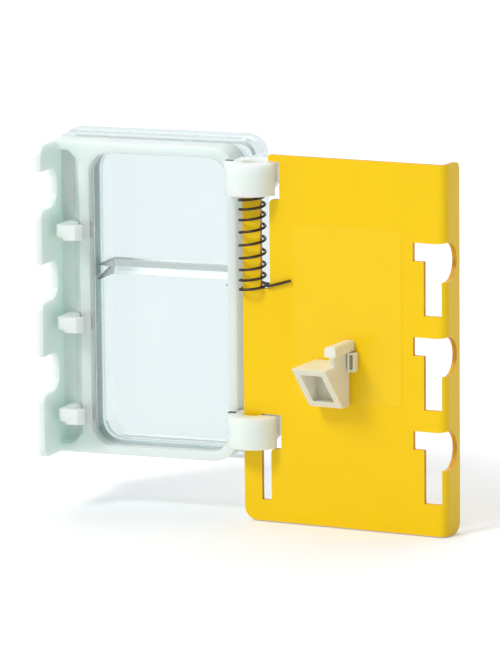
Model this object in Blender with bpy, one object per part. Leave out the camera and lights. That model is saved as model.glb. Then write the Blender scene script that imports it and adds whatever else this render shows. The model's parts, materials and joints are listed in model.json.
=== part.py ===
"""Padlockable window cover.

A moulded frame with a window and a clear cover behind it carries a painted sheet plate
on two knuckles. The plate swings shut over three hooks and then slides up along its
hinge strip, so that its flange and the frame's tall wall form three padlock holes.

Axes of the assembly: the hinge line is X = 0, Y = 0, the frame's bottom edge is Z = 0,
the frame lies to -X and the plate, shown open, to +X. +Y points to the mounting face.
"""
import math

import bpy
import bmesh
from mathutils import Matrix

MM = 0.001

# ---- driving dimensions: frame ------------------------------------------------------
FRAME_HEIGHT = 84.5 * MM
FRAME_DEPTH = 10.0 * MM          # rim front to frame rear
RIM_SETBACK = 2.4 * MM           # rim front behind the hinge line
HINGE_OFFSET = 5.6 * MM          # hinge line to the frame's side
RIM_SIDE = 2.4 * MM
RIM_TOP = 2.7 * MM
RIM_BOTTOM = 2.3 * MM
RIM_INNER = 2.6 * MM             # rim between window and channel
WINDOW_WIDTH = 39.4 * MM
WINDOW_RADIUS = 5.5 * MM
FRAME_RADIUS = 6.7 * MM
CHANNEL_WIDTH = 6.6 * MM
CHANNEL_DEPTH = 3.6 * MM
CHANNEL_SLOPE = 2.9 * MM         # width of the channel's sloping side
CHANNEL_END = 2.3 * MM
CHANNEL_CORNER = 3.2 * MM        # rim's slant across the channel's ends
WALL_THICKNESS = 2.1 * MM
WALL_REACH = 8.5 * MM            # wall's front edge ahead of the hinge line
WALL_CORNER = 3.0 * MM
CORE_SKIN = 1.6 * MM             # moulded wall left around the rear core pockets
CORE_COUNT = 4
CORE_RIB = 1.4 * MM

# ---- driving dimensions: locking ----------------------------------------------------
LOCK_COUNT = 3
LOCK_PITCH = 25.0 * MM
LOCK_FROM_TOP = 12.2 * MM        # highest padlock hole below the frame's top
SHACKLE_RADIUS = 5.25 * MM
NOTCH_DEPTH = 11.6 * MM
NOTCH_LEAD = 2.5 * MM            # rounded lead-in at the notch's lower end
TRAVEL = 14.0 * MM               # slide of the plate along its hinge

# ---- driving dimensions: plate ------------------------------------------------------
PLATE_THICKNESS = 1.25 * MM
PLATE_OPEN_ANGLE = -5.9          # degrees about Z at rest
PLATE_TOP_MARGIN = 0.55 * MM     # plate's top edge below the frame's top
PLATE_DROP = 14.5 * MM           # plate's bottom edge below the frame's bottom
FLANGE_DEPTH = 8.8 * MM
FLANGE_CLEARANCE = 0.4 * MM      # flange to the frame's wall when shut
FLANGE_LIP = 1.9 * MM            # flange left beyond the half-rounds
BEND_RADIUS = 0.9 * MM           # inside of the bend
STRIP_WIDTH = 5.2 * MM           # hinge strip that turns in the knuckles
SLOT_WIDTH = 2.75 * MM
TAB_HEIGHT = 1.8 * MM
KEY_ARM_HEIGHT = 4.9 * MM
KEY_ARM_WIDTH = 9.4 * MM
KEY_NECK_WIDTH = 5.0 * MM
KEY_EDGE = 1.3 * MM              # neck of the key slot to the flange's outer face
PLATE_CORNER = 3.5 * MM
FLANGE_TOP_CORNER = 2.0 * MM
FLANGE_LOW_CORNER = 3.0 * MM

# ---- driving dimensions: knuckles and spring ----------------------------------------
KNUCKLE_RADIUS = 7.3 * MM
KNUCKLE_HEIGHT = 8.6 * MM
KNUCKLE_BORE = 2.85 * MM
KNUCKLE_ARM_REAR = 6.86 * MM     # rear face of the arm that joins the knuckle to the frame
KNUCKLE_RELIEF = 3.44 * MM       # rise of the sloping cut behind the open sheet
LOWER_KNUCKLE_BASE = 5.5 * MM
NOTCH_BELOW_UPPER = 1.1 * MM
SPRING_LENGTH = 25.1 * MM
SPRING_OUTSIDE = 7.6 * MM
SPRING_WIRE = 0.75 * MM
SPRING_TURNS = 8.5              # front of the coil is crossed nine times
SPRING_LEG = 11.7 * MM           # reach of the leg from the hinge line
SPRING_LEG_RISE = 1.9 * MM
SPRING_LEG_LIFT = 0.8 * MM       # leg's middle above the spring's seat
SPRING_EASE = 0.03               # how much closer the end turns lie, as a share of the length
SPRING_BACK_TURN = 110           # degrees of the last turn behind the strip

# ---- driving dimensions: hooks ------------------------------------------------------
HOOK_REACH = 4.4 * MM            # head's front ahead of the hinge line
HOOK_HEAD = 2.6 * MM
HOOK_CHAMFER = 1.5 * MM
HOOK_LOBE = 2.2 * MM             # width of the head's shallower left end
HOOK_LOBE_STEP = 0.9 * MM        # how much shallower it is
SLIT_SETBACK = 0.8 * MM          # slit through the rim beside each hook
SLIT_WIDTH = 1.4 * MM

# ---- driving dimensions: clear cover and divider ------------------------------------
COVER_DEPTH = 7.8 * MM
COVER_WALL = 1.5 * MM
COVER_SIDE_MARGIN = 3.0 * MM     # beyond the frame's tall wall
COVER_HINGE_MARGIN = 2.9 * MM    # beyond the frame's hinge side
COVER_TOP_MARGIN = 1.6 * MM
COVER_BOTTOM_MARGIN = 1.6 * MM
COVER_RADIUS = 5.5 * MM
COVER_LIP = 0.6 * MM
SPIGOT_SETBACK = 4.0 * MM        # front of the clear lining of the window, behind the rim's front
SPIGOT_WALL = 1.0 * MM
COVER_LEDGE = 0.4 * MM           # narrow ledge where the lining meets the deep pocket
DIVIDER_LEVEL = 47.1 * MM
DIVIDER_HEIGHT = 3.9 * MM
DIVIDER_DEPTH = 4.1 * MM
DIVIDER_GROOVE = 1.2 * MM
LUG_THICKNESS = 1.2 * MM
LUG_SETBACK = 3.1 * MM           # lug's front behind the rim's front

# ---- driving dimensions: socket block -----------------------------------------------
SOCKET_EDGE = 18.9 * MM          # near side of the block from the hinge line
SOCKET_WIDTH = 9.7 * MM
SOCKET_BASE = 18.6 * MM
SOCKET_HEIGHT = 11.8 * MM
SOCKET_TOP_REACH = 15.6 * MM     # reach from the plate's face at the top edge
SOCKET_FOOT_REACH = 4.6 * MM
SOCKET_WALL = 1.8 * MM
CUP_FLOOR = 2.4 * MM
FIN_THICKNESS = 1.5 * MM
FIN_REACH = 9.7 * MM
CAP_REACH = 12.2 * MM
CAP_WIDTH = 3.2 * MM
CAP_OVERHANG = 0.2 * MM          # cap's near side beyond the fin
CAP_HEIGHT = 2.8 * MM
CAP_ROUND = 0.98 * MM
CAP_LIFT = 3.1 * MM              # underside of the cap above the block's top
CLIP_WIDTH = 2.2 * MM
CLIP_HEIGHT = 5.1 * MM
CLIP_BAR = 0.6 * MM
CLIP_REACH = 2.3 * MM

# ---- clearances ---------------------------------------------------------------------
GAP = 0.3 * MM                   # between pieces that touch
SLIDE_GAP = 0.5 * MM             # hook to the key slot it slides in
NOTCH_GAP = 1.0 * MM             # plate's hinge notch to the knuckle's barrel
OVERRUN = 1.0 * MM               # how far a cutter runs past what it cuts
ARC_STEPS = 6                    # steps of a quarter turn
MERGE_DISTANCE = 0.001 * MM
SMOOTH_BELOW = 35                # degrees between faces that still shade as one surface

# ---- derived positions --------------------------------------------------------------
FRAME_RIGHT = -HINGE_OFFSET
WINDOW_RIGHT = FRAME_RIGHT - RIM_SIDE
WINDOW_LEFT = WINDOW_RIGHT - WINDOW_WIDTH
RIM_LEFT = WINDOW_LEFT - RIM_INNER
WALL_INNER = RIM_LEFT - CHANNEL_WIDTH
WALL_OUTER = WALL_INNER - WALL_THICKNESS
WINDOW_BASE = RIM_BOTTOM
WINDOW_TOP = FRAME_HEIGHT - RIM_TOP
RIM_FRONT = RIM_SETBACK
FRAME_REAR = RIM_FRONT + FRAME_DEPTH
CHANNEL_FLOOR = RIM_FRONT + CHANNEL_DEPTH
COVER_FRONT = FRAME_REAR + GAP
COVER_REAR = COVER_FRONT + COVER_DEPTH
COVER_FLOOR = COVER_REAR - COVER_WALL
SPIGOT_FRONT = RIM_FRONT + SPIGOT_SETBACK
SPIGOT_ROOM = SPIGOT_WALL + GAP
COVER_LEFT = WALL_OUTER - COVER_SIDE_MARGIN
COVER_RIGHT = FRAME_RIGHT + COVER_HINGE_MARGIN
COVER_BASE = -COVER_BOTTOM_MARGIN
COVER_TOP = FRAME_HEIGHT + COVER_TOP_MARGIN
LOCK_LEVELS = [FRAME_HEIGHT - LOCK_FROM_TOP - i * LOCK_PITCH for i in range(LOCK_COUNT)]

HALF_PLATE = PLATE_THICKNESS / 2
PLATE_REACH = -WALL_INNER - FLANGE_CLEARANCE
PLATE_TOP = FRAME_HEIGHT - PLATE_TOP_MARGIN
PLATE_BASE = -PLATE_DROP
FLANGE_END = FLANGE_DEPTH - HALF_PLATE
SLOT_NEAR = STRIP_WIDTH / 2
SLOT_FAR = SLOT_NEAR + SLOT_WIDTH
UPPER_KNUCKLE_TOP = PLATE_TOP - TAB_HEIGHT - GAP
UPPER_KNUCKLE_BASE = UPPER_KNUCKLE_TOP - KNUCKLE_HEIGHT
LOWER_KNUCKLE_TOP = LOWER_KNUCKLE_BASE + KNUCKLE_HEIGHT
NOTCH_REACH = KNUCKLE_RADIUS + NOTCH_GAP
UPPER_NOTCH_BASE = UPPER_KNUCKLE_BASE - NOTCH_BELOW_UPPER
SPRING_SEAT = UPPER_KNUCKLE_BASE - SPRING_LENGTH
KEY_NECK_FAR = PLATE_REACH - KEY_EDGE
KEY_NECK_NEAR = KEY_NECK_FAR - KEY_NECK_WIDTH
KEY_ARM_NEAR = PLATE_REACH - KEY_ARM_WIDTH

# The mounting face is the rear of the clear cover's floor; its centre is the origin.
MOUNT_CENTRE = ((COVER_LEFT + COVER_RIGHT) / 2, COVER_REAR, (COVER_BASE + COVER_TOP) / 2)

# Axes for flat outlines: columns are where the outline's x, its y and its thickness go.
FACE_FRONT = Matrix(((1, 0, 0), (0, 0, -1), (0, 1, 0))).to_4x4()     # x -> X, y -> Z, thick -> -Y
FACE_SIDE = Matrix(((0, 0, 1), (1, 0, 0), (0, 1, 0))).to_4x4()       # x -> Y, y -> Z, thick -> X
FACE_TOP = Matrix.Identity(4)                                        # x -> X, y -> Y, thick -> Z


# ---- scene set-up -------------------------------------------------------------------
def clear_scene():
    for obj in list(bpy.data.objects):
        bpy.data.objects.remove(obj, do_unlink=True)


def new_collection(name):
    collection = bpy.data.collections.new(name)
    bpy.context.scene.collection.children.link(collection)
    return collection


def material(name, colour, roughness, metallic=0.0, transmission=0.0):
    mat = bpy.data.materials.new(name)
    mat.use_nodes = True
    shader = mat.node_tree.nodes["Principled BSDF"]
    shader.inputs["Base Color"].default_value = (*colour, 1.0)
    shader.inputs["Roughness"].default_value = roughness
    shader.inputs["Metallic"].default_value = metallic
    shader.inputs["Transmission Weight"].default_value = transmission
    return mat


clear_scene()
PARTS = new_collection("padlockable_cover")
CUTTERS = new_collection("cutters")

ASSEMBLY = bpy.data.objects.new("assembly", None)
ASSEMBLY.location = tuple(-value for value in MOUNT_CENTRE)
PARTS.objects.link(ASSEMBLY)

HINGE_LINE = bpy.data.objects.new("hinge_line", None)
HINGE_LINE.parent = ASSEMBLY
HINGE_LINE.rotation_euler = (0.0, 0.0, math.radians(PLATE_OPEN_ANGLE))
PARTS.objects.link(HINGE_LINE)

MINT_PLASTIC = material("mint_plastic", (0.74, 0.87, 0.80), 0.4)
WHITE_PLASTIC = material("white_plastic", (0.84, 0.89, 0.85), 0.38)
IVORY_PLASTIC = material("ivory_plastic", (0.86, 0.84, 0.72), 0.42)
CLEAR_PLASTIC = material("clear_plastic", (0.86, 0.94, 0.91), 0.08, transmission=1.0)
YELLOW_PAINT = material("yellow_paint", (0.98, 0.65, 0.02), 0.35)
SPRING_STEEL = material("spring_steel", (0.06, 0.04, 0.035), 0.35, metallic=0.9)


# ---- outlines -----------------------------------------------------------------------
def arc(centre, radius, start, end, steps=ARC_STEPS):
    """Points of an arc, angles in degrees, both ends included."""
    points = []
    for i in range(steps + 1):
        angle = math.radians(start + (end - start) * i / steps)
        points.append((centre[0] + radius * math.cos(angle), centre[1] + radius * math.sin(angle)))
    return points


def rectangle(x0, x1, y0, y1, low_left=0.0, low_right=0.0, top_right=0.0, top_left=0.0):
    """A rectangle's outline, anticlockwise, with its own radius at each corner."""
    corners = (
        (x0, y0, 1, 1, low_left, 180),
        (x1, y0, -1, 1, low_right, 270),
        (x1, y1, -1, -1, top_right, 0),
        (x0, y1, 1, -1, top_left, 90),
    )
    points = []
    for x, y, side_x, side_y, radius, start in corners:
        if radius > 0:
            points += arc((x + side_x * radius, y + side_y * radius), radius, start, start + 90)
        else:
            points.append((x, y))
    return points


def window_outline(grow=0.0):
    """The window's outline, grown outwards by an amount."""
    radius = WINDOW_RADIUS + grow
    return rectangle(WINDOW_LEFT - grow, WINDOW_RIGHT + grow, WINDOW_BASE - grow, WINDOW_TOP + grow,
                     radius, radius, radius, radius)


def cover_outline(inset=0.0):
    radius = COVER_RADIUS - inset
    return rectangle(COVER_LEFT + inset, COVER_RIGHT - inset, COVER_BASE + inset, COVER_TOP - inset,
                     radius, radius, radius, radius)


# ---- solids -------------------------------------------------------------------------
def link(obj, parent, cutter):
    obj.parent = parent
    if cutter:
        obj.hide_render = True
        obj.display_type = "WIRE"
        CUTTERS.objects.link(obj)
    else:
        PARTS.objects.link(obj)
    return obj


def from_curve(name, curve, axes, parent, cutter):
    """Turn a curve into a closed mesh object placed by a matrix."""
    guide = bpy.data.objects.new(name + "_guide", curve)
    CUTTERS.objects.link(guide)
    bpy.context.view_layer.update()
    evaluated = guide.evaluated_get(bpy.context.evaluated_depsgraph_get())
    mesh = bpy.data.meshes.new_from_object(evaluated)
    bpy.data.objects.remove(guide, do_unlink=True)
    mesh.transform(axes)
    bm = bmesh.new()
    bm.from_mesh(mesh)
    bmesh.ops.remove_doubles(bm, verts=bm.verts, dist=MERGE_DISTANCE)
    bmesh.ops.recalc_face_normals(bm, faces=bm.faces)
    bm.to_mesh(mesh)
    bm.free()
    mesh.name = name
    return link(bpy.data.objects.new(name, mesh), parent, cutter)


def plate_solid(name, outlines, axes, low, high, parent=ASSEMBLY, cutter=False):
    """A flat outline, with any holes, given its thickness from low to high."""
    curve = bpy.data.curves.new(name, "CURVE")
    curve.dimensions = "2D"
    curve.fill_mode = "BOTH"
    curve.extrude = (high - low) / 2
    for outline in outlines:
        spline = curve.splines.new("POLY")
        spline.points.add(len(outline) - 1)
        for point, (x, y) in zip(spline.points, outline):
            point.co = (x, y, 0.0, 1.0)
        spline.use_cyclic_u = True
    thick = axes.to_3x3().col[2]
    direction = sum(thick)           # -1 where the thickness runs down its axis
    middle = Matrix.Translation(thick * direction * (high + low) / 2)
    return from_curve(name, curve, middle @ axes, parent, cutter)


def box(name, low, high, parent=ASSEMBLY, cutter=False):
    mesh = bpy.data.meshes.new(name)
    bm = bmesh.new()
    bmesh.ops.create_cube(bm, size=1.0)
    size = [high[i] - low[i] for i in range(3)]
    middle = [(high[i] + low[i]) / 2 for i in range(3)]
    bmesh.ops.scale(bm, vec=size, verts=bm.verts)
    bmesh.ops.translate(bm, vec=middle, verts=bm.verts)
    bm.to_mesh(mesh)
    bm.free()
    return link(bpy.data.objects.new(name, mesh), parent, cutter)


def cylinder(name, radius, low, high, axes, centre=(0.0, 0.0), parent=ASSEMBLY, cutter=False, sides=48):
    """A cylinder from low to high along the third axis of a matrix."""
    mesh = bpy.data.meshes.new(name)
    bm = bmesh.new()
    bmesh.ops.create_cone(bm, cap_ends=True, segments=sides, radius1=radius, radius2=radius,
                          depth=high - low)
    bmesh.ops.translate(bm, vec=(centre[0], centre[1], (high + low) / 2), verts=bm.verts)
    bmesh.ops.transform(bm, matrix=axes, verts=bm.verts)
    bm.to_mesh(mesh)
    bm.free()
    return link(bpy.data.objects.new(name, mesh), parent, cutter)


def combine(obj, tool, operation):
    modifier = obj.modifiers.new(operation.lower() + "_" + tool.name, "BOOLEAN")
    modifier.operation = operation
    modifier.object = tool
    modifier.solver = "EXACT"


def cut(obj, *tools):
    for tool in tools:
        combine(obj, tool, "DIFFERENCE")


def join(obj, *tools):
    for tool in tools:
        combine(obj, tool, "UNION")


def finish(obj, mat, smooth=True):
    obj.data.materials.clear()
    obj.data.materials.append(mat)
    if smooth:
        obj.data.shade_smooth()
        obj.data.set_sharp_from_angle(angle=math.radians(SMOOTH_BELOW))
    return obj


def hook_span(level):
    """Lowest and highest Z of the hook that goes with a padlock hole."""
    arm_base = level - TRAVEL
    return arm_base + SLIDE_GAP, arm_base + KEY_ARM_HEIGHT - GAP


# ---- frame --------------------------------------------------------------------------
def wall_outline():
    """Side view of the tall wall, with a padlock notch at each level."""
    front = -WALL_REACH
    rear = CHANNEL_FLOOR
    centre = front + NOTCH_DEPTH - SHACKLE_RADIUS
    points = [(rear, 0.0)]
    points += arc((front + WALL_CORNER, WALL_CORNER), WALL_CORNER, 270, 180)
    for level in reversed(LOCK_LEVELS):
        low = level - SHACKLE_RADIUS
        high = level + SHACKLE_RADIUS
        points += arc((front + NOTCH_LEAD, low - NOTCH_LEAD), NOTCH_LEAD, 180, 90)
        points += arc((centre, level), SHACKLE_RADIUS, -90, 90, 2 * ARC_STEPS)
        points.append((front, high))
    points += arc((front + WALL_CORNER, FRAME_HEIGHT - WALL_CORNER), WALL_CORNER, 180, 90)
    points.append((rear, FRAME_HEIGHT))
    return points


def channel_cutter():
    profile = [
        (WALL_INNER, RIM_FRONT - OVERRUN),
        (RIM_LEFT, RIM_FRONT - OVERRUN),
        (RIM_LEFT, RIM_FRONT),
        (RIM_LEFT - CHANNEL_SLOPE, CHANNEL_FLOOR),
        (WALL_INNER, CHANNEL_FLOOR),
    ]
    return plate_solid("channel_cutter", [profile], FACE_TOP, CHANNEL_END,
                       FRAME_HEIGHT - CHANNEL_END, cutter=True)


def channel_corners():
    """Slanted corners where the rim turns across the top and bottom of the channel."""
    corners = []
    for name, end, side in (("low", CHANNEL_END, -1), ("high", FRAME_HEIGHT - CHANNEL_END, 1)):
        outline = [
            (RIM_LEFT - CHANNEL_CORNER, end),
            (RIM_LEFT - CHANNEL_CORNER, end + side * GAP),
            (RIM_LEFT + GAP, end + side * GAP),
            (RIM_LEFT + GAP, end - side * CHANNEL_CORNER),
            (RIM_LEFT, end - side * CHANNEL_CORNER),
        ]
        corners.append(plate_solid("channel_corner_" + name, [outline], FACE_FRONT, RIM_FRONT,
                                   CHANNEL_FLOOR + GAP, cutter=True))
    return corners


def core_cutters():
    """Pockets in the back of the channel, with ribs between them."""
    low = CHANNEL_END
    high = FRAME_HEIGHT - CHANNEL_END
    pitch = (high - low + CORE_RIB) / CORE_COUNT
    cutters = []
    for i in range(CORE_COUNT):
        base = low + i * pitch
        cutters.append(box(
            f"core_cutter_{i}",
            (WALL_OUTER + CORE_SKIN, CHANNEL_FLOOR + CORE_SKIN, base),
            (WINDOW_LEFT - SPIGOT_ROOM - CORE_SKIN, FRAME_REAR + OVERRUN, base + pitch - CORE_RIB),
            cutter=True,
        ))
    return cutters


def slit_cutters():
    """A slit through the rim beside each hook."""
    cutters = []
    for i, level in enumerate(LOCK_LEVELS):
        low, high = hook_span(level)
        front = RIM_FRONT + SLIT_SETBACK
        cutters.append(box(
            f"slit_cutter_{i}",
            (RIM_LEFT - CHANNEL_SLOPE, front, low),
            (WINDOW_LEFT + OVERRUN, front + SLIT_WIDTH, high),
            cutter=True,
        ))
    return cutters


def rebate_cutter():
    """Room behind the rim for the clear lining of the window."""
    return plate_solid("rebate_cutter", [window_outline(SPIGOT_ROOM)], FACE_FRONT,
                       SPIGOT_FRONT - GAP, FRAME_REAR + OVERRUN, cutter=True)


def make_window_frame():
    outside = rectangle(WALL_OUTER, FRAME_RIGHT, 0.0, FRAME_HEIGHT,
                        low_right=FRAME_RADIUS, top_right=FRAME_RADIUS)
    frame = plate_solid("window_frame", [outside, window_outline()], FACE_FRONT,
                        RIM_FRONT, FRAME_REAR)
    wall = plate_solid("wall_body", [wall_outline()], FACE_SIDE, WALL_OUTER, WALL_INNER, cutter=True)
    join(frame, wall)
    cut(frame, channel_cutter(), rebate_cutter(), *core_cutters(), *slit_cutters())
    join(frame, *channel_corners())
    return finish(frame, MINT_PLASTIC)


# ---- clear cover --------------------------------------------------------------------
def make_clear_cover():
    """A clear tray behind the frame, with a lining that stands forward into the window."""
    cover = plate_solid("clear_cover", [cover_outline(COVER_LIP)], FACE_FRONT, COVER_FRONT, COVER_REAR)
    lip = plate_solid("lip_body", [cover_outline()], FACE_FRONT, COVER_FLOOR, COVER_REAR, cutter=True)
    spigot = plate_solid("spigot_body", [window_outline(SPIGOT_WALL), window_outline()], FACE_FRONT,
                         SPIGOT_FRONT, COVER_FRONT + COVER_WALL / 2, cutter=True)
    pocket = plate_solid("pocket_cutter", [window_outline(-COVER_LEDGE)], FACE_FRONT,
                         COVER_FRONT - OVERRUN, COVER_FLOOR, cutter=True)
    groove = plate_solid("groove_cutter",
                         [cover_outline(COVER_LIP + COVER_WALL), window_outline(COVER_WALL - COVER_LEDGE)],
                         FACE_FRONT, COVER_FRONT + COVER_WALL, COVER_REAR + OVERRUN, cutter=True)
    join(cover, lip, spigot)
    cut(cover, pocket, groove)
    return finish(cover, CLEAR_PLASTIC)


def make_divider_bar():
    """A grooved bar across the window, with a forked lug at each end."""
    rear = COVER_FLOOR - GAP
    front = rear - DIVIDER_DEPTH
    low = DIVIDER_LEVEL
    high = low + DIVIDER_HEIGHT
    middle = (low + high) / 2
    lug_front = RIM_FRONT + LUG_SETBACK
    left = WINDOW_LEFT + COVER_LEDGE + GAP
    right = WINDOW_RIGHT - COVER_LEDGE - GAP
    section = [(rear, low), (rear, high), (front, high), (front + DIVIDER_GROOVE, middle), (front, low)]
    lug = [(rear, low), (rear, high), (lug_front, high), (front, middle), (lug_front, low)]
    bar = plate_solid("divider_bar", [section], FACE_SIDE, left + LUG_THICKNESS / 2,
                      right - LUG_THICKNESS / 2)
    for end, start in (("left", left), ("right", right - LUG_THICKNESS)):
        join(bar, plate_solid(f"lug_{end}", [lug], FACE_SIDE, start, start + LUG_THICKNESS, cutter=True))
    return finish(bar, CLEAR_PLASTIC)


# ---- knuckles -----------------------------------------------------------------------
def make_knuckle(name, base):
    """A barrel with an arm to the frame and a slit for the sheet, open and shut."""
    top = base + KNUCKLE_HEIGHT
    below = base - OVERRUN
    above = top + OVERRUN
    kerf_half = HALF_PLATE + GAP
    kerf_near = SLOT_FAR - GAP
    kerf_far = KNUCKLE_RADIUS + OVERRUN
    side = FRAME_RIGHT + GAP
    face = RIM_FRONT - GAP
    knuckle = cylinder(name, KNUCKLE_RADIUS, base, top, FACE_TOP)
    arm = box(name + "_arm", (side, face, base), (0.0, KNUCKLE_ARM_REAR, top), cutter=True)
    frame_space = box(name + "_frame_space", (-kerf_far, face, below), (side, kerf_far, above), cutter=True)
    bore = cylinder(name + "_bore", KNUCKLE_BORE, below, above, FACE_TOP, cutter=True, sides=32)
    kerf_open = box(name + "_kerf_open", (kerf_near, -kerf_half, below), (kerf_far, kerf_half, above),
                    parent=HINGE_LINE, cutter=True)
    kerf_shut = box(name + "_kerf_shut", (-kerf_far, -kerf_half, below), (-kerf_near, kerf_half, above),
                    cutter=True)
    relief_top = base + KNUCKLE_RELIEF
    relief = [(SLOT_NEAR, below), (kerf_far, below), (kerf_far, relief_top),
              (KNUCKLE_RADIUS - GAP, relief_top), (SLOT_NEAR, base - GAP)]
    relief_cutter = plate_solid(name + "_relief", [relief], FACE_FRONT, HALF_PLATE, kerf_far,
                                parent=HINGE_LINE, cutter=True)
    join(knuckle, arm)
    cut(knuckle, frame_space, bore, kerf_open, kerf_shut, relief_cutter)
    return finish(knuckle, WHITE_PLASTIC)


# ---- hooks --------------------------------------------------------------------------
def make_hook(name, level):
    """An L-shaped catch: its stem fits the key slot's neck and its head fits the arm."""
    low, high = hook_span(level)
    stem_left = -(KEY_NECK_FAR - SLIDE_GAP)
    stem_right = -(KEY_NECK_NEAR + SLIDE_GAP)
    head_right = -(KEY_ARM_NEAR + SLIDE_GAP)
    head_front = -HOOK_REACH
    head_rear = head_front + HOOK_HEAD
    foot = CHANNEL_FLOOR - GAP
    toe = RIM_LEFT - CHANNEL_SLOPE - GAP
    outline = [
        (stem_left, foot),
        (stem_left, head_front + HOOK_CHAMFER / 2),
        (stem_left + HOOK_CHAMFER / 2, head_front),
        (head_right - HOOK_CHAMFER, head_front),
        (head_right, head_front + HOOK_CHAMFER),
        (head_right, head_rear),
        (stem_right, head_rear),
        (stem_right, RIM_FRONT - GAP),
        (RIM_LEFT - GAP, RIM_FRONT - GAP),
        (toe, foot),
    ]
    hook = plate_solid(name, [outline], FACE_TOP, low, high)
    step_cutter = box(name + "_step", (stem_left - OVERRUN, head_front - OVERRUN, low - OVERRUN),
                      (stem_left + HOOK_LOBE, head_rear, low + HOOK_LOBE_STEP), cutter=True)
    cut(hook, step_cutter)
    return finish(hook, WHITE_PLASTIC)


# ---- plate --------------------------------------------------------------------------
def plate_profile():
    """The sheet seen from above: hinge strip at the left, flange turned back at the right."""
    outer_radius = BEND_RADIUS + PLATE_THICKNESS
    bend_x = PLATE_REACH - outer_radius
    bend_y = HALF_PLATE + BEND_RADIUS
    points = [(-STRIP_WIDTH / 2, -HALF_PLATE)]
    points += arc((bend_x, bend_y), outer_radius, 270, 360)
    points += [(PLATE_REACH, FLANGE_END), (PLATE_REACH - PLATE_THICKNESS, FLANGE_END)]
    points += arc((bend_x, bend_y), BEND_RADIUS, 360, 270)
    points.append((-STRIP_WIDTH / 2, HALF_PLATE))
    return points


def face_outline():
    """The sheet's front outline, with the open slot and notch for the upper knuckle."""
    strip_left = -STRIP_WIDTH / 2
    strip_top = UPPER_KNUCKLE_TOP - PLATE_CORNER / 2
    tab_near = SLOT_FAR - GAP
    tab_round = TAB_HEIGHT / 2 - GAP
    far = PLATE_REACH + OVERRUN
    corner = NOTCH_BELOW_UPPER
    points = arc((strip_left + PLATE_CORNER, PLATE_BASE + PLATE_CORNER), PLATE_CORNER, 180, 270)
    points += [(far, PLATE_BASE), (far, PLATE_TOP)]
    points += arc((tab_near + tab_round, PLATE_TOP - tab_round), tab_round, 90, 180)
    points += arc((tab_near + tab_round, UPPER_KNUCKLE_TOP + GAP + tab_round), tab_round, 180, 270)
    points += [(NOTCH_REACH, UPPER_KNUCKLE_TOP + GAP), (NOTCH_REACH, UPPER_NOTCH_BASE)]
    points += arc((SLOT_FAR + corner, UPPER_NOTCH_BASE - corner), corner, 90, 180)
    points += [(SLOT_FAR, SPRING_SEAT), (SLOT_NEAR, SPRING_SEAT)]
    points += [(SLOT_NEAR, strip_top), (strip_left, strip_top)]
    return points


def lower_opening():
    """Notch and slot for the lower knuckle, closed by the strip on the near side."""
    corner = NOTCH_BELOW_UPPER
    top = LOWER_KNUCKLE_TOP + GAP
    notch_base = LOWER_KNUCKLE_BASE - GAP
    slot_base = LOWER_KNUCKLE_BASE - TRAVEL - GAP
    points = [(SLOT_NEAR, top), (SLOT_NEAR, slot_base), (SLOT_FAR, slot_base)]
    points += arc((SLOT_FAR + corner, notch_base - corner), corner, 180, 90)
    points += [(NOTCH_REACH, notch_base), (NOTCH_REACH, top)]
    return points


def key_slot(level):
    """Arm and neck of a key slot; the arm runs out over the bend."""
    arm_base = level - TRAVEL
    arm_top = arm_base + KEY_ARM_HEIGHT
    neck_base = arm_base - TRAVEL - GAP
    return [
        (KEY_NECK_NEAR, neck_base),
        (KEY_NECK_FAR, neck_base),
        (KEY_NECK_FAR, arm_base),
        (PLATE_REACH + OVERRUN, arm_base),
        (PLATE_REACH + OVERRUN, arm_top),
        (KEY_ARM_NEAR, arm_top),
        (KEY_ARM_NEAR, arm_base),
        (KEY_NECK_NEAR, arm_base),
    ]


def flange_outline():
    """Side view that rounds the flange's two free corners; the rest is left whole."""
    front = -HALF_PLATE - OVERRUN
    low = PLATE_BASE - OVERRUN
    high = PLATE_TOP + OVERRUN
    points = [(front, low), (FLANGE_END - FLANGE_LOW_CORNER, low)]
    low_centre = (FLANGE_END - FLANGE_LOW_CORNER, PLATE_BASE + FLANGE_LOW_CORNER)
    top_centre = (FLANGE_END - FLANGE_TOP_CORNER, PLATE_TOP - FLANGE_TOP_CORNER)
    points += arc(low_centre, FLANGE_LOW_CORNER, 270, 360)
    points += arc(top_centre, FLANGE_TOP_CORNER, 0, 90)
    points += [(FLANGE_END - FLANGE_TOP_CORNER, high), (front, high)]
    return points


def make_cover_plate():
    plate = plate_solid("cover_plate", [plate_profile()], FACE_TOP, PLATE_BASE, PLATE_TOP,
                        parent=HINGE_LINE)
    inside = -HALF_PLATE - OVERRUN
    behind = FLANGE_END + OVERRUN
    face = plate_solid("face_body", [face_outline(), lower_opening()], FACE_FRONT, inside, behind,
                       parent=HINGE_LINE, cutter=True)
    flange = plate_solid("flange_body", [flange_outline()], FACE_SIDE, -STRIP_WIDTH, PLATE_REACH + OVERRUN,
                         parent=HINGE_LINE, cutter=True)
    combine(plate, face, "INTERSECT")
    combine(plate, flange, "INTERSECT")
    hole_centre = FLANGE_END - FLANGE_LIP - SHACKLE_RADIUS
    hole_start = PLATE_REACH - PLATE_THICKNESS - BEND_RADIUS
    for i, level in enumerate(LOCK_LEVELS):
        slot = plate_solid(f"key_cutter_{i}", [key_slot(level)], FACE_FRONT, inside,
                           max(hole_centre, HALF_PLATE) + BEND_RADIUS / 2, parent=HINGE_LINE, cutter=True)
        hole = cylinder(f"hole_cutter_{i}", SHACKLE_RADIUS, hole_start, PLATE_REACH + OVERRUN, FACE_SIDE,
                        centre=(hole_centre, level - TRAVEL), parent=HINGE_LINE, cutter=True)
        cut(plate, slot, hole)
    return finish(plate, YELLOW_PAINT)


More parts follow.
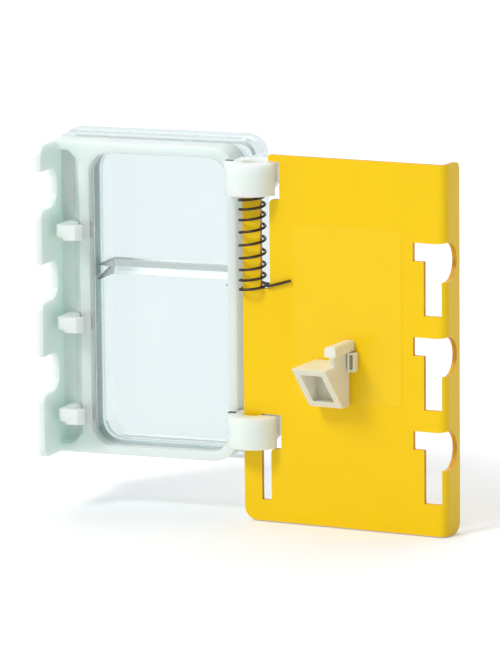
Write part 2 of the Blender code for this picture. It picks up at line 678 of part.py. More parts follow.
# ---- spring -------------------------------------------------------------------------
def spring_path():
    """Right-hand coil from the top down, a pass behind the strip, then out through the slot."""
    radius = (SPRING_OUTSIDE - SPRING_WIRE) / 2
    top = UPPER_KNUCKLE_BASE - GAP - SPRING_WIRE / 2
    seat = SPRING_SEAT + SPRING_WIRE / 2
    leg_base = SPRING_SEAT + SPRING_LEG_LIFT
    steps_per_turn = 16
    steps = int(SPRING_TURNS * steps_per_turn)
    points = []
    for i in range(steps + 1):
        share = i / steps
        angle = -2 * math.pi * SPRING_TURNS * share
        eased = share - math.sin(2 * math.pi * share) * SPRING_EASE
        height = top + (seat - top) * eased
        points.append((radius * math.cos(angle), radius * math.sin(angle), height))
    back_steps = 5
    for i in range(1, back_steps + 1):
        share = i / back_steps
        angle = math.radians(180 - SPRING_BACK_TURN * share)
        height = seat + (leg_base - seat) * share
        points.append((radius * math.cos(angle), radius * math.sin(angle), height))
    through = SLOT_FAR - GAP - SPRING_WIRE / 2
    face = -HALF_PLATE - GAP - SPRING_WIRE / 2
    points.append((through, HALF_PLATE, leg_base))
    points.append((through + GAP / 2, face + SPRING_WIRE / 2, leg_base))
    leg_steps = 4
    for i in range(leg_steps + 1):
        share = i / leg_steps
        reach = SLOT_FAR + (SPRING_LEG - SLOT_FAR) * share
        points.append((reach, face, leg_base + SPRING_LEG_RISE * share))
    return points


def make_return_spring():
    curve = bpy.data.curves.new("return_spring", "CURVE")
    curve.dimensions = "3D"
    curve.bevel_depth = SPRING_WIRE / 2
    curve.bevel_resolution = 2
    curve.use_fill_caps = True
    path = spring_path()
    spline = curve.splines.new("POLY")
    spline.points.add(len(path) - 1)
    for point, place in zip(spline.points, path):
        point.co = (*place, 1.0)
    spring = from_curve("return_spring", curve, FACE_TOP, HINGE_LINE, cutter=False)
    return finish(spring, SPRING_STEEL)


# ---- socket -------------------------------------------------------------------------
def make_socket_block():
    """A slanted square cup with a fin and a cap bar, standing on the plate's face."""
    seat = -HALF_PLATE - GAP
    near = SOCKET_EDGE
    far = near + SOCKET_WIDTH
    top = SOCKET_BASE + SOCKET_HEIGHT
    foot = -HALF_PLATE - SOCKET_FOOT_REACH
    brow = -HALF_PLATE - SOCKET_TOP_REACH
    body = [(seat, SOCKET_BASE), (seat, top), (brow, top), (foot, SOCKET_BASE)]
    block = plate_solid("socket_block", [body], FACE_SIDE, near, far, parent=HINGE_LINE)
    cup = box("cup_cutter", (near + SOCKET_WALL, brow - OVERRUN, SOCKET_BASE + SOCKET_WALL),
              (far - SOCKET_WALL, seat - CUP_FLOOR, top - SOCKET_WALL), parent=HINGE_LINE, cutter=True)
    cap_base = top + CAP_LIFT
    fin = box("fin_body", (far - FIN_THICKNESS, -HALF_PLATE - FIN_REACH, top - SOCKET_WALL / 2),
              (far, seat, cap_base + CAP_HEIGHT / 2), parent=HINGE_LINE, cutter=True)
    cap_near = far - FIN_THICKNESS - CAP_OVERHANG
    cap_outline = rectangle(cap_near, cap_near + CAP_WIDTH, cap_base, cap_base + CAP_HEIGHT,
                            top_right=CAP_ROUND, top_left=CAP_ROUND)
    cap = plate_solid("cap_body", [cap_outline], FACE_FRONT, -HALF_PLATE - CAP_REACH, seat,
                      parent=HINGE_LINE, cutter=True)
    cut(block, cup)
    join(block, fin, cap)
    return finish(block, IVORY_PLASTIC)


def make_socket_clip():
    """A small square ring beside the fin, under the cap bar."""
    near = SOCKET_EDGE + SOCKET_WIDTH + GAP
    far = near + CLIP_WIDTH
    high = SOCKET_BASE + SOCKET_HEIGHT + CAP_LIFT - GAP
    low = high - CLIP_HEIGHT
    seat = -HALF_PLATE - GAP
    outside = rectangle(near, far, low, high)
    inside = rectangle(near + CLIP_BAR, far - CLIP_BAR, low + CLIP_BAR, high - CLIP_BAR)
    clip = plate_solid("socket_clip", [outside, inside], FACE_FRONT, seat - CLIP_REACH, seat,
                       parent=HINGE_LINE)
    return finish(clip, IVORY_PLASTIC)


# ---- the assembly -------------------------------------------------------------------
make_window_frame()
make_clear_cover()
make_divider_bar()
make_knuckle("hinge_knuckle_upper", UPPER_KNUCKLE_BASE)
make_knuckle("hinge_knuckle_lower", LOWER_KNUCKLE_BASE)
for hook_name, hook_level in zip(("catch_hook_top", "catch_hook_middle", "catch_hook_bottom"), LOCK_LEVELS):
    make_hook(hook_name, hook_level)
make_cover_plate()
make_return_spring()
make_socket_block()
make_socket_clip()
bpy.context.view_layer.update()
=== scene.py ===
"""Looks of the padlockable window cover: fine edges, plastics, paint, spring and light.

Lengths are in metres, in the shared frame: +Z up along the hinge line, +X towards the
hinge side, +Y towards the panel that the cover is fixed to.
"""

import json
import math

import bmesh
import bpy
from mathutils import Matrix, Vector


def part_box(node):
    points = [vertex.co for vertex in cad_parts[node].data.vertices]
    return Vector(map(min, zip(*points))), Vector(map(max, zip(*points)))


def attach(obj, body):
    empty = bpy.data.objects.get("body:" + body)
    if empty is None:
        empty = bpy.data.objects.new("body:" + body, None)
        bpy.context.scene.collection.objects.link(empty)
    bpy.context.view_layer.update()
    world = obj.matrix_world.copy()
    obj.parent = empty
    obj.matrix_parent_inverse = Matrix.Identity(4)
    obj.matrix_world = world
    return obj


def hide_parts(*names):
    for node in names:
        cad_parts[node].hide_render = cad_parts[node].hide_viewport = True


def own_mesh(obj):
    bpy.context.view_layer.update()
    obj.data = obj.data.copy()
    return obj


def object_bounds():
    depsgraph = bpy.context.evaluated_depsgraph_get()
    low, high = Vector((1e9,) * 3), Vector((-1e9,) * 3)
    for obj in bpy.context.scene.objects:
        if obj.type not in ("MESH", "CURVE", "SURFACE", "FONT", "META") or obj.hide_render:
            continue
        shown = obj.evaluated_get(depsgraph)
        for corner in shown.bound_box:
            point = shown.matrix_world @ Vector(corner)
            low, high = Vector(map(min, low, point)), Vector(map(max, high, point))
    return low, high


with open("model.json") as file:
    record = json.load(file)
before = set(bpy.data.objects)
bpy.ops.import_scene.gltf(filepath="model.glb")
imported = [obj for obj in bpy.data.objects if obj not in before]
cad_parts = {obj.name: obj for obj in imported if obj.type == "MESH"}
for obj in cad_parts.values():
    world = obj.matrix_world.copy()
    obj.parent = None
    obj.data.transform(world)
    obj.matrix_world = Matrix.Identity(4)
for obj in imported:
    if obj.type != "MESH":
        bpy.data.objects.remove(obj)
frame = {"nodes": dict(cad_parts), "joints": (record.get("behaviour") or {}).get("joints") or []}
cad_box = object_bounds()

MM = 0.001

# ---- driving dimensions -------------------------------------------------------------
MERGE_DISTANCE = 0.004 * MM
FLAT_WITHIN = 0.6                # degrees between triangles of one flat face
EDGE_ABOVE = 30.0                # degrees between faces whose edge is rounded
ROUND_STEPS = 3

FRAME_EDGE = 0.32 * MM           # radii of the moulded and pressed edges
COVER_EDGE = 0.22 * MM
DIVIDER_EDGE = 0.10 * MM
KNUCKLE_EDGE = 0.45 * MM
HOOK_EDGE = 0.30 * MM
SHEET_EDGE = 0.14 * MM
SOCKET_EDGE = 0.35 * MM
CLIP_EDGE = 0.15 * MM

OPEN_ANGLE = math.radians(-5.9)  # plate about the hinge line, as it stands
SHEET_HALF = 0.625 * MM
THICKNESS_MATCH = 0.012 * MM     # how near the sheet's thickness an edge's length is
LABEL_NEAR = 12.5 * MM           # blank label on the plate, from the hinge line
LABEL_FAR = 43.5 * MM
LABEL_DROP = 18.0 * MM           # below the plate's top edge
LABEL_HEIGHT = 46.5 * MM
LABEL_CORNER = 1.2 * MM
LABEL_CORNER_STEPS = 6
LABEL_THICKNESS = 0.06 * MM

WIRE_DIAMETER = 0.75 * MM
COIL_OUTSIDE = 7.6 * MM
COIL_TURNS = 8.5
COIL_EASE = 0.03                 # how much closer the end turns lie
COIL_STEPS = 32                  # points of the path in each turn
BACK_STEPS = 12
LEG_STEPS = 5
COIL_SAG = 1.1 * MM              # front of the last turn below the CAD wire
BACK_TURN = 110                  # degrees of the last turn behind the strip
SLOT_SIDE = 5.35 * MM            # far side of the strip's slot, from the hinge line
LEG_END = 11.7 * MM
LEG_RISE = 1.9 * MM
SPRING_LEG_ABOVE = 0.8 * MM      # leg's middle above the lowest point of the CAD spring
WIRE_GAP = 0.3 * MM
WIRE_SIDES = 14

FLOOR_DROP = 0.3 * MM
FLOOR_HALF = 4.0
FLOOR_TONE = (0.86, 0.875, 0.89)
FLOOR_ROUGHNESS = 0.9
FLOOR_SPECULAR = 0.1
FLOOR_LIFT = 0.16                # keeps the pale floor near white without lighting the object
FLOOR_LIFT_THROUGH = 0.15        # share of that lift seen through the clear plastic
ROOM_TONE = (0.98, 0.99, 1.0)
ROOM_LEFT = 0.74                 # the room's strength on the left, and on the hinge side
ROOM_RIGHT = 0.32
ROOM_FADE = (-0.3, 0.9)          # sideways share of a direction over which the one becomes the other
KEY_FROM = (-0.40, -0.62, 0.76)
KEY_STRENGTH = 1.25
KEY_SPREAD = 16                  # degrees across the light's disc
BACK_FROM = (-0.25, 0.5, 0.85)
BACK_STRENGTH = 0.85
BACK_SPREAD = 60

SMUDGES_PER_METRE = 90.0
SCRATCHES_PER_METRE = 160.0
SCRATCH_CROWDING = 14.0          # how much closer the scratches lie across their length
SCRATCH_TURN = (0.5, 0.3, 0.7)   # radians
CLEAR_INDEX = 1.3                # given; real clear plastics bend light more
EDGE_INDEX = 1.49

# ---- view ---------------------------------------------------------------------------
VIEW_AZIMUTH = math.radians(20.35)
VIEW_ELEVATION = math.radians(10.34)
VIEW_ROLL = math.radians(0.525)
VIEW_DISTANCE = 1.469
VIEW_RIGHT = 0.84 * MM           # view's centre from the hinge line at the frame's foot
VIEW_UP = -35.13 * MM
LENS = 298.1                     # millimetres, as the sensor's width
SENSOR = 36.0
CLIP_NEAR = 0.05
CLIP_FAR = 50.0

joint_places = {joint["name"]: joint for joint in frame["joints"]}
HINGE = Vector(joint_places["cover_hinge"]["pos_m"])
FRAME_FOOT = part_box("window_frame")[0].z


def on_plate(u, w, z):
    """A point given along the plate from the hinge line, behind its middle, and in height."""
    cosine = math.cos(OPEN_ANGLE)
    sine = math.sin(OPEN_ANGLE)
    return Vector((HINGE.x + u * cosine - w * sine, HINGE.y + u * sine + w * cosine, z))


# ---- shared effects -----------------------------------------------------------------
class Wiring:
    """Adds nodes to a tree and joins their sockets, so that an effect reads as a few lines."""

    def __init__(self, tree):
        self.tree = tree

    def node(self, kind, values=None, **settings):
        made = self.tree.nodes.new(kind)
        for name, value in settings.items():
            setattr(made, name, value)
        for name, value in (values or {}).items():
            made.inputs[name].default_value = value
        return made

    def join(self, source, target):
        self.tree.links.new(source, target)

    def math(self, operation, first, second=0.0, clamp=False):
        made = self.node("ShaderNodeMath", operation=operation, use_clamp=clamp)
        for socket, value in zip(made.inputs, (first, second)):
            if isinstance(value, (int, float)):
                socket.default_value = value
            else:
                self.join(value, socket)
        return made.outputs[0]

    def noise(self, vector, scale, detail=2.0, roughness=0.5):
        made = self.node("ShaderNodeTexNoise",
                         {"Scale": scale, "Detail": detail, "Roughness": roughness})
        self.join(vector, made.inputs["Vector"])
        return made.outputs["Fac"]

    def spread(self, value, low, high, out_low, out_high):
        """Maps a range of a value to another, held inside it."""
        made = self.node("ShaderNodeMapRange")
        for socket, number in zip(made.inputs[1:5], (low, high, out_low, out_high)):
            if isinstance(number, (int, float)):
                socket.default_value = number
            else:
                self.join(number, socket)
        self.join(value, made.inputs[0])
        return made.outputs[0]

    def mix_colour(self, share, first, second):
        made = self.node("ShaderNodeMix", data_type="RGBA")
        self.join(share, made.inputs["Factor"])
        for name, value in (("A", first), ("B", second)):
            socket = [s for s in made.inputs if s.name == name and s.type == "RGBA"][0]
            self.join(value, socket)
        return [s for s in made.outputs if s.type == "RGBA"][0]


def effect(name, inputs, outputs):
    """An empty shader node group with named inputs and outputs."""
    tree = bpy.data.node_groups.new(name, "ShaderNodeTree")
    for title, kind, default in inputs:
        socket = tree.interface.new_socket(title, in_out="INPUT", socket_type=kind)
        if default is not None:
            socket.default_value = default
    for title, kind in outputs:
        tree.interface.new_socket(title, in_out="OUTPUT", socket_type=kind)
    wires = Wiring(tree)
    start = wires.node("NodeGroupInput")
    end = wires.node("NodeGroupOutput")
    return wires, start.outputs, end.inputs


def surface_tone():
    """Slow cloudy change of a base colour between two tones."""
    wires, start, end = effect(
        "surface_tone",
        [("Place", "NodeSocketVector", None), ("Tone", "NodeSocketColor", (1, 1, 1, 1)),
         ("Other Tone", "NodeSocketColor", (1, 1, 1, 1)), ("Cloud Size", "NodeSocketFloat", 0.02)],
        [("Color", "NodeSocketColor")])
    scale = wires.math("DIVIDE", 1.0, start["Cloud Size"])
    noise = wires.node("ShaderNodeTexNoise", {"Detail": 3.0, "Roughness": 0.6})
    wires.join(start["Place"], noise.inputs["Vector"])
    wires.join(scale, noise.inputs["Scale"])
    share = wires.spread(noise.outputs["Fac"], 0.35, 0.65, 0.0, 1.0)
    wires.join(wires.mix_colour(share, start["Tone"], start["Other Tone"]), end["Color"])
    return wires.tree


def skin_height():
    """Height of a fine skin: orange peel of paint or the grain of a mould."""
    wires, start, end = effect(
        "skin_height",
        [("Place", "NodeSocketVector", None), ("Grain Size", "NodeSocketFloat", 0.0006)],
        [("Height", "NodeSocketFloat")])
    scale = wires.math("DIVIDE", 1.0, start["Grain Size"])
    noise = wires.node("ShaderNodeTexNoise", {"Detail": 2.0, "Roughness": 0.55})
    wires.join(start["Place"], noise.inputs["Vector"])
    wires.join(scale, noise.inputs["Scale"])
    wires.join(noise.outputs["Fac"], end["Height"])
    return wires.tree


def handling():
    """Roughness that rises in small smudges and hair scratches from handling."""
    wires, start, end = effect(
        "handling",
        [("Place", "NodeSocketVector", None), ("Roughness", "NodeSocketFloat", 0.4),
         ("Smudge", "NodeSocketFloat", 0.08), ("Scratch", "NodeSocketFloat", 0.1)],
        [("Roughness", "NodeSocketFloat")])
    smudge = wires.noise(start["Place"], SMUDGES_PER_METRE, detail=4.0, roughness=0.65)
    smudge = wires.math("MULTIPLY", wires.spread(smudge, 0.45, 0.75, 0.0, 1.0), start["Smudge"])
    turned = wires.node("ShaderNodeMapping",
                        {"Rotation": SCRATCH_TURN, "Scale": (1.0, SCRATCH_CROWDING, 1.0)})
    wires.join(start["Place"], turned.inputs["Vector"])
    scratch = wires.noise(turned.outputs[0], SCRATCHES_PER_METRE, detail=2.0)
    scratch = wires.math("MULTIPLY", wires.spread(scratch, 0.68, 0.74, 0.0, 1.0), start["Scratch"])
    total = wires.math("ADD", start["Roughness"], wires.math("ADD", smudge, scratch))
    wires.join(total, end["Roughness"])
    return wires.tree


TONE = surface_tone()
SKIN = skin_height()
HANDLING = handling()


# ---- materials ----------------------------------------------------------------------
def finish_material(name, tones, cloud=0.02, roughness=0.4, smudge=0.08, scratch=0.08,
                    grain=0.0006, grain_height=0.01, **shader_values):
    """A Principled surface with the shared tone, handling and skin, each at its own values."""
    mat = bpy.data.materials.new(name)
    mat.use_nodes = True
    wires = Wiring(mat.node_tree)
    shader = mat.node_tree.nodes["Principled BSDF"]
    place = wires.node("ShaderNodeTexCoord").outputs["Object"]
    tone = wires.node("ShaderNodeGroup", node_tree=TONE)
    tone.inputs["Tone"].default_value = (*tones[0], 1.0)
    tone.inputs["Other Tone"].default_value = (*tones[1], 1.0)
    tone.inputs["Cloud Size"].default_value = cloud
    worn = wires.node("ShaderNodeGroup", node_tree=HANDLING)
    worn.inputs["Roughness"].default_value = roughness
    worn.inputs["Smudge"].default_value = smudge
    worn.inputs["Scratch"].default_value = scratch
    skin = wires.node("ShaderNodeGroup", node_tree=SKIN)
    skin.inputs["Grain Size"].default_value = grain
    bump = wires.node("ShaderNodeBump", {"Strength": 1.0, "Distance": grain_height * MM})
    for group in (tone, worn, skin):
        wires.join(place, group.inputs["Place"])
    wires.join(tone.outputs["Color"], shader.inputs["Base Color"])
    wires.join(worn.outputs["Roughness"], shader.inputs["Roughness"])
    wires.join(skin.outputs["Height"], bump.inputs["Height"])
    wires.join(bump.outputs["Normal"], shader.inputs["Normal"])
    for title, value in shader_values.items():
        shader.inputs[title.replace("_", " ")].default_value = value
    return mat


# light passes a little way through the moulded plastic
GLOW = {"Subsurface_Weight": 1.0, "Subsurface_Radius": (0.85, 1.0, 0.93)}
MINT_PLASTIC = finish_material(
    "mint_plastic", [(0.77, 0.925, 0.85), (0.80, 0.94, 0.87)], roughness=0.36, grain_height=0.006,
    Subsurface_Scale=4.0 * MM, **GLOW)
WHITE_PLASTIC = finish_material(
    "white_plastic", [(0.83, 0.905, 0.86), (0.855, 0.925, 0.88)], roughness=0.32, grain_height=0.005,
    Subsurface_Scale=3.0 * MM, **GLOW)
IVORY_PLASTIC = finish_material(
    "ivory_plastic", [(0.86, 0.84, 0.70), (0.90, 0.875, 0.75)], cloud=0.008, roughness=0.36,
    grain_height=0.006, Subsurface_Weight=0.3, Subsurface_Scale=0.8 * MM,
    Subsurface_Radius=(1.0, 0.8, 0.45))
CLEAR_PLASTIC = finish_material(
    "clear_plastic", [(0.83, 0.915, 0.905), (0.85, 0.925, 0.92)], roughness=0.02, smudge=0.02,
    scratch=0.03, grain_height=0.0, Transmission_Weight=1.0, IOR=CLEAR_INDEX)
# painted shade: the rounds on the clear plastic's edges take darker tones, drawing dark lines along its
# edges and inner corners
CLEAR_EDGE_SHADE = finish_material(
    "clear_plastic_edge", [(0.70, 0.77, 0.76), (0.78, 0.84, 0.83)], cloud=0.006, roughness=0.25,
    smudge=0.1, scratch=0.05, grain_height=0.0, Transmission_Weight=0.85, IOR=EDGE_INDEX)
FROSTED_PLASTIC = finish_material(
    "frosted_plastic", [(0.93, 0.98, 0.955), (0.95, 0.985, 0.965)], roughness=0.32, smudge=0.06,
    grain_height=0.003, Transmission_Weight=1.0, IOR=EDGE_INDEX)
YELLOW_PAINT = finish_material(
    "yellow_paint", [(0.97, 0.63, 0.002), (0.96, 0.615, 0.002)], cloud=0.012, roughness=0.28,
    smudge=0.04, scratch=0.04, grain=0.0011, grain_height=0.006, Specular_IOR_Level=0.22)
# the sheet's sheared edges in brown: partly the thinner paint on a cut, partly painted shade
CUT_EDGE_PAINT_AND_SHADE = finish_material(
    "cut_edge_paint", [(0.62, 0.28, 0.012), (0.80, 0.42, 0.012)], cloud=0.004, roughness=0.4,
    smudge=0.1, scratch=0.1, grain=0.0006, grain_height=0.01, Specular_IOR_Level=0.3)
LABEL_FILM = finish_material(
    "label_film", [(0.975, 0.645, 0.003), (0.965, 0.63, 0.003)], cloud=0.015, roughness=0.2,
    smudge=0.05, grain=0.002, grain_height=0.004, Specular_IOR_Level=0.3)
SPRING_STEEL = finish_material(
    "spring_steel", [(0.055, 0.036, 0.03), (0.10, 0.07, 0.06)], cloud=0.003, roughness=0.3,
    grain=0.0003, grain_height=0.004, Metallic=0.85)


# ---- pieces made from their CAD nodes -----------------------------------------------
def merged_copy(node, name):
    """A copy of a CAD node's mesh with its loose triangles merged into whole faces."""
    mesh = frame["nodes"][node].data.copy()
    mesh.name = name
    for attribute in [a for a in mesh.attributes if a.name == "custom_normal"]:
        mesh.attributes.remove(attribute)
    bm = bmesh.new()
    bm.from_mesh(mesh)
    bmesh.ops.remove_doubles(bm, verts=bm.verts, dist=MERGE_DISTANCE)
    bmesh.ops.dissolve_limit(bm, angle_limit=math.radians(FLAT_WITHIN), use_dissolve_boundaries=False,
                             verts=bm.verts, edges=bm.edges)
    low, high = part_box(node)
    for across in ((1, 0, 0), (0, 0, 1)):      # parts the faces that go round an opening
        bmesh.ops.bisect_plane(bm, geom=bm.verts[:] + bm.edges[:] + bm.faces[:], dist=MERGE_DISTANCE,
                               plane_co=(low + high) / 2, plane_no=across)
    bm.to_mesh(mesh)
    bm.free()
    mesh.materials.clear()
    return mesh


def round_edges(obj, radius, edge_slot=-1):
    """Rounds the sharp edges; an edge slot gives the rounds a material of their own, which on the clear
    plastic is a painted edge shade.
    """
    bevel = obj.modifiers.new("rounded_edges", "BEVEL")
    bevel.material = edge_slot
    bevel.limit_method = "ANGLE"
    bevel.angle_limit = math.radians(EDGE_ABOVE)
    bevel.width = radius
    bevel.segments = ROUND_STEPS
    bevel.miter_outer = "MITER_ARC"
    bevel.harden_normals = True


def shaded(obj):
    obj.data.shade_smooth()
    obj.data.set_sharp_from_angle(angle=math.radians(EDGE_ABOVE))
    return obj


def settle(obj, mat, body, nodes=()):
    """Gives a finished piece its material and body, and hides the CAD nodes that it stands for."""
    if not obj.data.materials:
        obj.data.materials.append(mat)
    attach(obj, body)
    if nodes:
        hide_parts(*nodes)
    return obj


def link(name, mesh):
    obj = bpy.data.objects.new(name, mesh)
    bpy.context.scene.collection.objects.link(obj)
    return obj


def plain_mesh(obj):
    """Applies an object's modifiers to its mesh."""
    evaluated = obj.evaluated_get(bpy.context.evaluated_depsgraph_get())
    mesh = bpy.data.meshes.new_from_object(evaluated)
    obj.modifiers.clear()
    obj.data = mesh
    return obj


def mark_cut_edges(obj):
    """Gives the sheet's sheared edges the second, darker material, partly thinner paint and partly painted
    shade: faces with an edge as long as it is thick.
    """
    mesh = obj.data
    for face in mesh.polygons:
        places = [mesh.vertices[i].co for i in face.vertices]
        lengths = [(b - a).length for a, b in zip(places, places[1:] + places[:1])]
        if any(abs(length - 2 * SHEET_HALF) < THICKNESS_MATCH for length in lengths):
            face.material_index = 1


def fine_piece(node, radius, mat, body, edge_mat=None):
    """A CAD node with rounded edges, in its finish, with a darker edge material if given: painted shade on
    the clear plastic, partly thinner paint and partly painted shade on the sheet's sheared edges.
    """
    obj = shaded(link(node + "_moulding", merged_copy(node, node + "_moulding")))
    obj.data.materials.append(mat)
    if edge_mat:
        obj.data.materials.append(edge_mat)
    # the sheared edges take the darker brown: partly thinner paint, partly painted shade
    if edge_mat is CUT_EDGE_PAINT_AND_SHADE:
        mark_cut_edges(obj)
    # the rounds of the clear pieces take the darker edge material, a painted shade
    round_edges(obj, radius, edge_slot=1 if edge_mat is CLEAR_EDGE_SHADE else -1)
    bpy.context.view_layer.update()
    plain_mesh(obj)
    return settle(obj, mat, body, [node])


def make_frame_pieces():
    fine_piece("window_frame", FRAME_EDGE, MINT_PLASTIC, "frame")
    # the clear cover and the divider carry a painted shade on their rounded edges
    fine_piece("clear_cover", COVER_EDGE, CLEAR_PLASTIC, "frame", CLEAR_EDGE_SHADE)
    fine_piece("divider_bar", DIVIDER_EDGE, FROSTED_PLASTIC, "frame", CLEAR_EDGE_SHADE)
    for node in ("hinge_knuckle_upper", "hinge_knuckle_lower"):
        fine_piece(node, KNUCKLE_EDGE, WHITE_PLASTIC, "frame")
    for node in ("catch_hook_top", "catch_hook_middle", "catch_hook_bottom"):
        fine_piece(node, HOOK_EDGE, WHITE_PLASTIC, "frame")


def make_cover_pieces():
    # the plate's sheared edges are darker: partly thinner paint, partly painted shade
    fine_piece("cover_plate", SHEET_EDGE, YELLOW_PAINT, "cover", CUT_EDGE_PAINT_AND_SHADE)
    fine_piece("socket_block", SOCKET_EDGE, IVORY_PLASTIC, "cover")
    fine_piece("socket_clip", CLIP_EDGE, IVORY_PLASTIC, "cover")


# ---- label --------------------------------------------------------------------------
def make_label():
    """A blank film with round corners, lying on the front of the plate."""
    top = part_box("cover_plate")[1].z - LABEL_DROP
    low = top - LABEL_HEIGHT
    corners = [
        (LABEL_FAR - LABEL_CORNER, top - LABEL_CORNER, 0),
        (LABEL_NEAR + LABEL_CORNER, top - LABEL_CORNER, 90),
        (LABEL_NEAR + LABEL_CORNER, low + LABEL_CORNER, 180),
        (LABEL_FAR - LABEL_CORNER, low + LABEL_CORNER, 270),
    ]
    bm = bmesh.new()
    front = -SHEET_HALF - LABEL_THICKNESS
    ring = []
    for u, z, start in corners:
        for i in range(LABEL_CORNER_STEPS + 1):
            angle = math.radians(start + 90 * i / LABEL_CORNER_STEPS)
            place = on_plate(u + LABEL_CORNER * math.cos(angle), front, z + LABEL_CORNER * math.sin(angle))
            ring.append(bm.verts.new(place))
    face = bm.faces.new(ring)
    extruded = bmesh.ops.extrude_face_region(bm, geom=[face])
    moved = [v for v in extruded["geom"] if isinstance(v, bmesh.types.BMVert)]
    bmesh.ops.translate(bm, verts=moved, vec=on_plate(0, LABEL_THICKNESS, 0) - on_plate(0, 0, 0))
    bmesh.ops.recalc_face_normals(bm, faces=bm.faces)
    mesh = bpy.data.meshes.new("blank_label")
    bm.to_mesh(mesh)
    bm.free()
    settle(link("blank_label", mesh), LABEL_FILM, "cover")


# ---- spring -------------------------------------------------------------------------
def leg_height():
    """Height of the leg's near end; its far end is the highest point of the leg."""
    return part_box("return_spring")[0].z + SPRING_LEG_ABOVE


def spring_path():
    """The wire's middle: a right-hand coil, a pass behind the strip, then out through the slot."""
    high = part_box("return_spring")[1]
    radius = (COIL_OUTSIDE - WIRE_DIAMETER) / 2
    top = high.z - WIRE_DIAMETER / 2
    leg_base = leg_height()
    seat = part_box("return_spring")[0].z + WIRE_DIAMETER / 2 - COIL_SAG
    points = []
    steps = int(COIL_TURNS * COIL_STEPS)
    for i in range(steps + 1):
        share = i / steps
        angle = -2 * math.pi * COIL_TURNS * share
        eased = share - math.sin(2 * math.pi * share) * COIL_EASE
        points.append(on_plate(radius * math.cos(angle), radius * math.sin(angle),
                               top + (seat - top) * eased))
    for i in range(1, BACK_STEPS + 1):
        share = i / BACK_STEPS
        angle = math.radians(180 - BACK_TURN * share)
        points.append(on_plate(radius * math.cos(angle), radius * math.sin(angle),
                               seat + (leg_base - seat) * share))
    through = SLOT_SIDE - WIRE_GAP - WIRE_DIAMETER / 2
    face = -SHEET_HALF - WIRE_GAP - WIRE_DIAMETER / 2
    points.append(on_plate(through - WIRE_DIAMETER / 2, 3 * SHEET_HALF, leg_base))
    points.append(on_plate(through, SHEET_HALF, leg_base))
    points.append(on_plate(through, -SHEET_HALF / 2, leg_base))
    points.append(on_plate(through + WIRE_GAP / 2, face + WIRE_DIAMETER / 2, leg_base))
    for i in range(LEG_STEPS + 1):
        share = i / LEG_STEPS
        points.append(on_plate(SLOT_SIDE + (LEG_END - SLOT_SIDE) * share, face,
                               leg_base + LEG_RISE * share))
    return points


def wire_tree():
    """Geometry nodes that give a path the thickness of a round wire."""
    tree = bpy.data.node_groups.new("wire_along_path", "GeometryNodeTree")
    tree.interface.new_socket("Path", in_out="INPUT", socket_type="NodeSocketGeometry")
    tree.interface.new_socket("Wire Radius", in_out="INPUT", socket_type="NodeSocketFloat")
    tree.interface.new_socket("Sides", in_out="INPUT", socket_type="NodeSocketInt")
    tree.interface.new_socket("Finish", in_out="INPUT", socket_type="NodeSocketMaterial")
    tree.interface.new_socket("Wire", in_out="OUTPUT", socket_type="NodeSocketGeometry")
    wires = Wiring(tree)
    start = wires.node("NodeGroupInput").outputs
    end = wires.node("NodeGroupOutput").inputs
    circle = wires.node("GeometryNodeCurvePrimitiveCircle")
    sweep = wires.node("GeometryNodeCurveToMesh", {"Fill Caps": True})
    smooth = wires.node("GeometryNodeSetShadeSmooth")
    real = wires.node("GeometryNodeRealizeInstances")
    paint = wires.node("GeometryNodeSetMaterial")
    wires.join(start["Wire Radius"], circle.inputs["Radius"])
    wires.join(start["Sides"], circle.inputs["Resolution"])
    wires.join(start["Path"], sweep.inputs["Curve"])
    wires.join(circle.outputs[0], sweep.inputs["Profile Curve"])
    wires.join(sweep.outputs[0], smooth.inputs["Geometry"])
    wires.join(smooth.outputs[0], real.inputs["Geometry"])
    wires.join(real.outputs[0], paint.inputs["Geometry"])
    wires.join(start["Finish"], paint.inputs["Material"])
    wires.join(paint.outputs[0], end["Wire"])
    return tree


def set_inputs(modifier, **values):
    """Sets a geometry-nodes modifier's inputs by their sockets' identifiers."""
    for item in modifier.node_group.interface.items_tree:
        key = item.name.lower().replace(" ", "_")
        if item.in_out == "INPUT" and key in values:
            modifier[item.identifier] = values[key]


def make_spring():
    points = spring_path()
    curve = bpy.data.curves.new("spring_wire", "CURVE")
    curve.dimensions = "3D"
    spline = curve.splines.new("POLY")
    spline.points.add(len(points) - 1)
    for point, place in zip(spline.points, points):
        point.co = (*place, 1.0)
    guide = link("spring_guide", curve)
    modifier = guide.modifiers.new("wire", "NODES")
    modifier.node_group = wire_tree()
    set_inputs(modifier, wire_radius=WIRE_DIAMETER / 2, sides=WIRE_SIDES, finish=SPRING_STEEL)
    bpy.context.view_layer.update()
    mesh = bpy.data.meshes.new_from_object(guide.evaluated_get(bpy.context.evaluated_depsgraph_get()))
    bpy.data.objects.remove(guide, do_unlink=True)
    mesh.name = "coil_spring"
    spring = link("coil_spring", mesh)
    settle(spring, SPRING_STEEL, "spring", ["return_spring"])
    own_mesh(spring)


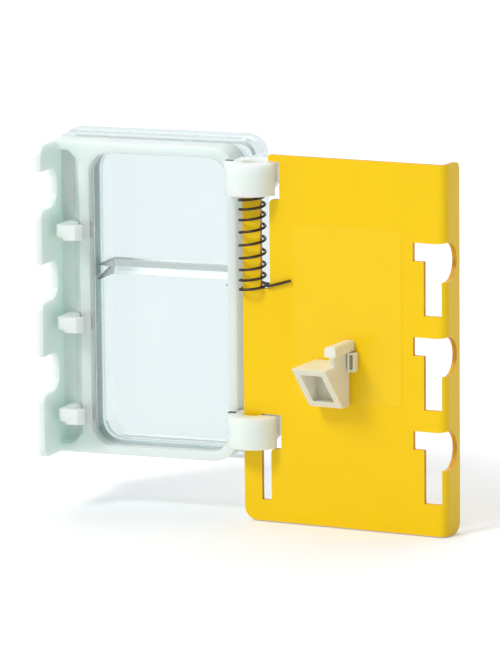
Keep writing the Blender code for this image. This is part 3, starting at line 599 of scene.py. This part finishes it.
# ---- studio -------------------------------------------------------------------------
def make_floor():
    mat = bpy.data.materials.new("studio_floor")
    mat.use_nodes = True
    shader = mat.node_tree.nodes["Principled BSDF"]
    shader.inputs["Base Color"].default_value = (*FLOOR_TONE, 1.0)
    shader.inputs["Roughness"].default_value = FLOOR_ROUGHNESS
    shader.inputs["Specular IOR Level"].default_value = FLOOR_SPECULAR
    shader.inputs["Emission Color"].default_value = (1.0, 1.0, 1.0, 1.0)
    wires = Wiring(mat.node_tree)
    path = wires.node("ShaderNodeLightPath")
    through = wires.math("MULTIPLY", path.outputs["Is Transmission Ray"], FLOOR_LIFT_THROUGH)
    seen = wires.math("ADD", path.outputs["Is Camera Ray"], through, clamp=True)
    wires.join(wires.math("MULTIPLY", seen, FLOOR_LIFT), shader.inputs["Emission Strength"])
    bm = bmesh.new()
    bmesh.ops.create_grid(bm, x_segments=1, y_segments=1, size=FLOOR_HALF)
    bmesh.ops.translate(bm, verts=bm.verts, vec=(0, 0, cad_box[0].z - FLOOR_DROP))
    mesh = bpy.data.meshes.new("studio_floor")
    bm.to_mesh(mesh)
    bm.free()
    mesh.materials.append(mat)
    link("studio_floor", mesh)


def make_light(name, kind, direction, strength, **settings):
    """A light that shines towards the object from a direction."""
    data = bpy.data.lights.new(name, kind)
    data.energy = strength
    for key, value in settings.items():
        setattr(data, key, value)
    light = bpy.data.objects.new(name, data)
    bpy.context.scene.collection.objects.link(light)
    away = Vector(direction).normalized()
    light.location = away
    light.rotation_euler = away.to_track_quat("Z", "Y").to_euler()


def make_room():
    """A pale room, a little darker on the hinge side."""
    world = bpy.data.worlds.new("soft_room")
    world.use_nodes = True
    wires = Wiring(world.node_tree)
    background = world.node_tree.nodes["Background"]
    direction = wires.node("ShaderNodeTexCoord").outputs["Generated"]
    parts = wires.node("ShaderNodeSeparateXYZ")
    wires.join(direction, parts.inputs[0])
    strength = wires.spread(parts.outputs["X"], *ROOM_FADE, ROOM_LEFT, ROOM_RIGHT)
    background.inputs["Color"].default_value = (*ROOM_TONE, 1.0)
    wires.join(strength, background.inputs["Strength"])
    bpy.context.scene.world = world


def make_studio():
    make_floor()
    make_room()
    make_light("key", "SUN", KEY_FROM, KEY_STRENGTH, angle=math.radians(KEY_SPREAD))
    make_light("back_light", "SUN", BACK_FROM, BACK_STRENGTH, angle=math.radians(BACK_SPREAD))
    bpy.context.scene.view_settings.view_transform = "Standard"


def make_camera():
    """A long lens, level with the object's middle, turned slightly about its own axis."""
    azimuth = (math.sin(VIEW_AZIMUTH), math.cos(VIEW_AZIMUTH))
    elevation = (math.sin(VIEW_ELEVATION), math.cos(VIEW_ELEVATION))
    right = Vector((azimuth[1], azimuth[0], 0.0))
    up = Vector((-azimuth[0] * elevation[0], azimuth[1] * elevation[0], elevation[1]))
    ahead = Vector((-azimuth[0] * elevation[1], azimuth[1] * elevation[1], -elevation[0]))
    foot = Vector((HINGE.x, HINGE.y, FRAME_FOOT))
    place = foot - right * VIEW_RIGHT - up * VIEW_UP - ahead * VIEW_DISTANCE
    turned_right = right * math.cos(VIEW_ROLL) - up * math.sin(VIEW_ROLL)
    turned_up = up * math.cos(VIEW_ROLL) + right * math.sin(VIEW_ROLL)
    data = bpy.data.cameras.new("camera")
    data.lens = LENS
    data.sensor_width = SENSOR
    data.clip_start = CLIP_NEAR
    data.clip_end = CLIP_FAR
    camera = bpy.data.objects.new("camera", data)
    bpy.context.scene.collection.objects.link(camera)
    axes = Matrix((turned_right, turned_up, -ahead)).transposed().to_4x4()
    camera.matrix_world = Matrix.Translation(place) @ axes
    bpy.context.scene.camera = camera


make_frame_pieces()
make_cover_pieces()
make_label()
make_spring()
make_studio()
make_camera()
